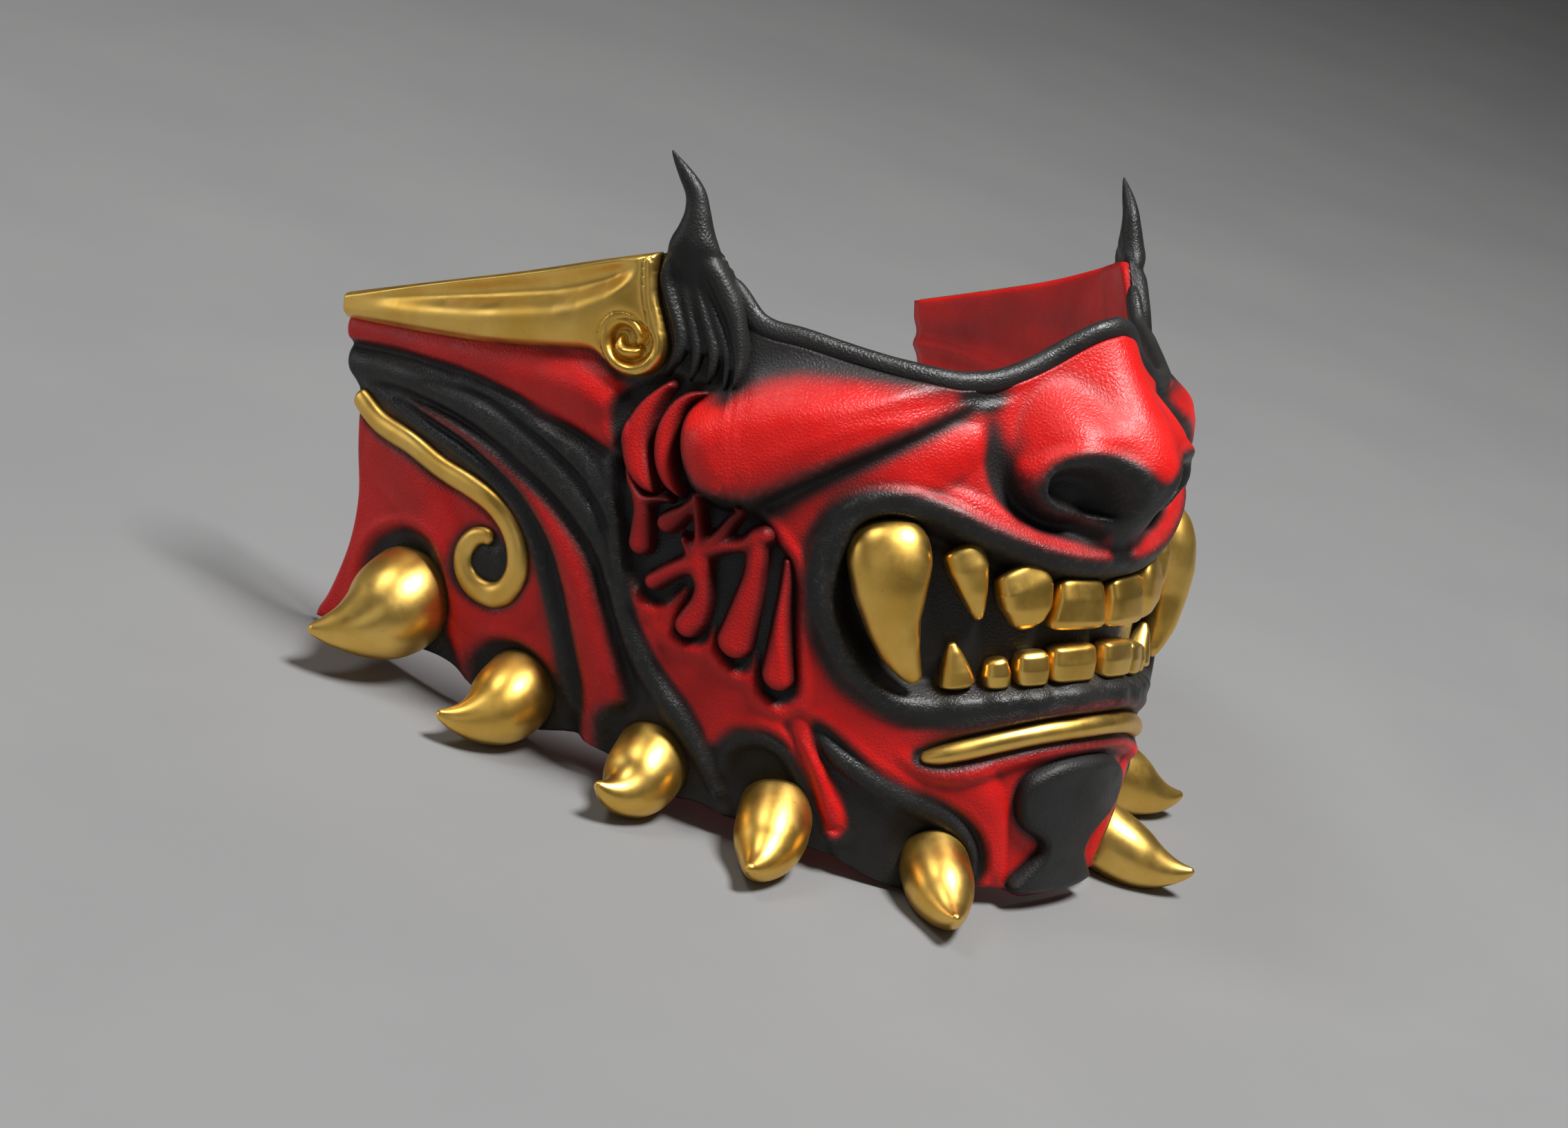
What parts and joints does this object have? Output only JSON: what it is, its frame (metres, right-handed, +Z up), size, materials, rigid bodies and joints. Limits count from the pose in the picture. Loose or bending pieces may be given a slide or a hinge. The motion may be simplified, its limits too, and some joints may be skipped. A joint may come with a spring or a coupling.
{
  "type": "oni half mask",
  "caption": "Lower-face demon mask of red and black leather with gilt fangs, teeth, scrolls and jaw spikes, two short horns and an open back, leaning back at rest.",
  "frame": {"origin": "under the middle of the resting mask's box, on the floor", "axes": "+Z up from the floor, -Y the way the face looks, +X the wearer's left"},
  "size_m": [0.2252, 0.1748, 0.1335],
  "materials": {
    "red_leather": "satin lacquer over fine grain",
    "black_leather": "satin, grainy highlights",
    "gilt": "smooth satin gilt"
  },
  "bodies": {
    "root": {"chin_bar": "gilt", "chin_patch": "black_leather", "crescent_front_left": "red_leather", "crescent_front_right": "red_leather", "crescent_rear_left": "red_leather", "crescent_rear_right": "red_leather", "drip_web_left": "red_leather", "drip_web_right": "red_leather", "face_shell": "red_leather", "fang_left": "gilt", "fang_right": "gilt", "lower_tooth_canine_left": "gilt", "lower_tooth_canine_right": "gilt", "lower_tooth_centre_left": "gilt", "lower_tooth_centre_right": "gilt", "lower_tooth_outer_left": "gilt", "lower_tooth_outer_right": "gilt", "lower_tooth_side_left": "gilt", "lower_tooth_side_right": "gilt", "rim_roll": "black_leather", "side_scroll_left": "gilt", "side_scroll_right": "gilt", "spike_chin_left": "gilt", "spike_chin_right": "gilt", "spike_jaw_corner_left": "gilt", "spike_jaw_corner_right": "gilt", "spike_jaw_front_left": "gilt", "spike_jaw_front_right": "gilt", "spike_jaw_middle_left": "gilt", "spike_jaw_middle_right": "gilt", "spike_jaw_rear_left": "gilt", "spike_jaw_rear_right": "gilt", "tail_drip_left": "red_leather", "tail_drip_right": "red_leather", "temple_horn_left": "black_leather", "temple_horn_right": "black_leather", "temple_plate_left": "gilt", "temple_plate_right": "gilt", "upper_tooth_centre_left": "gilt", "upper_tooth_centre_right": "gilt", "upper_tooth_outer_left": "gilt", "upper_tooth_outer_right": "gilt", "upper_tooth_side_left": "gilt", "upper_tooth_side_right": "gilt"}
  },
  "joints": []
}
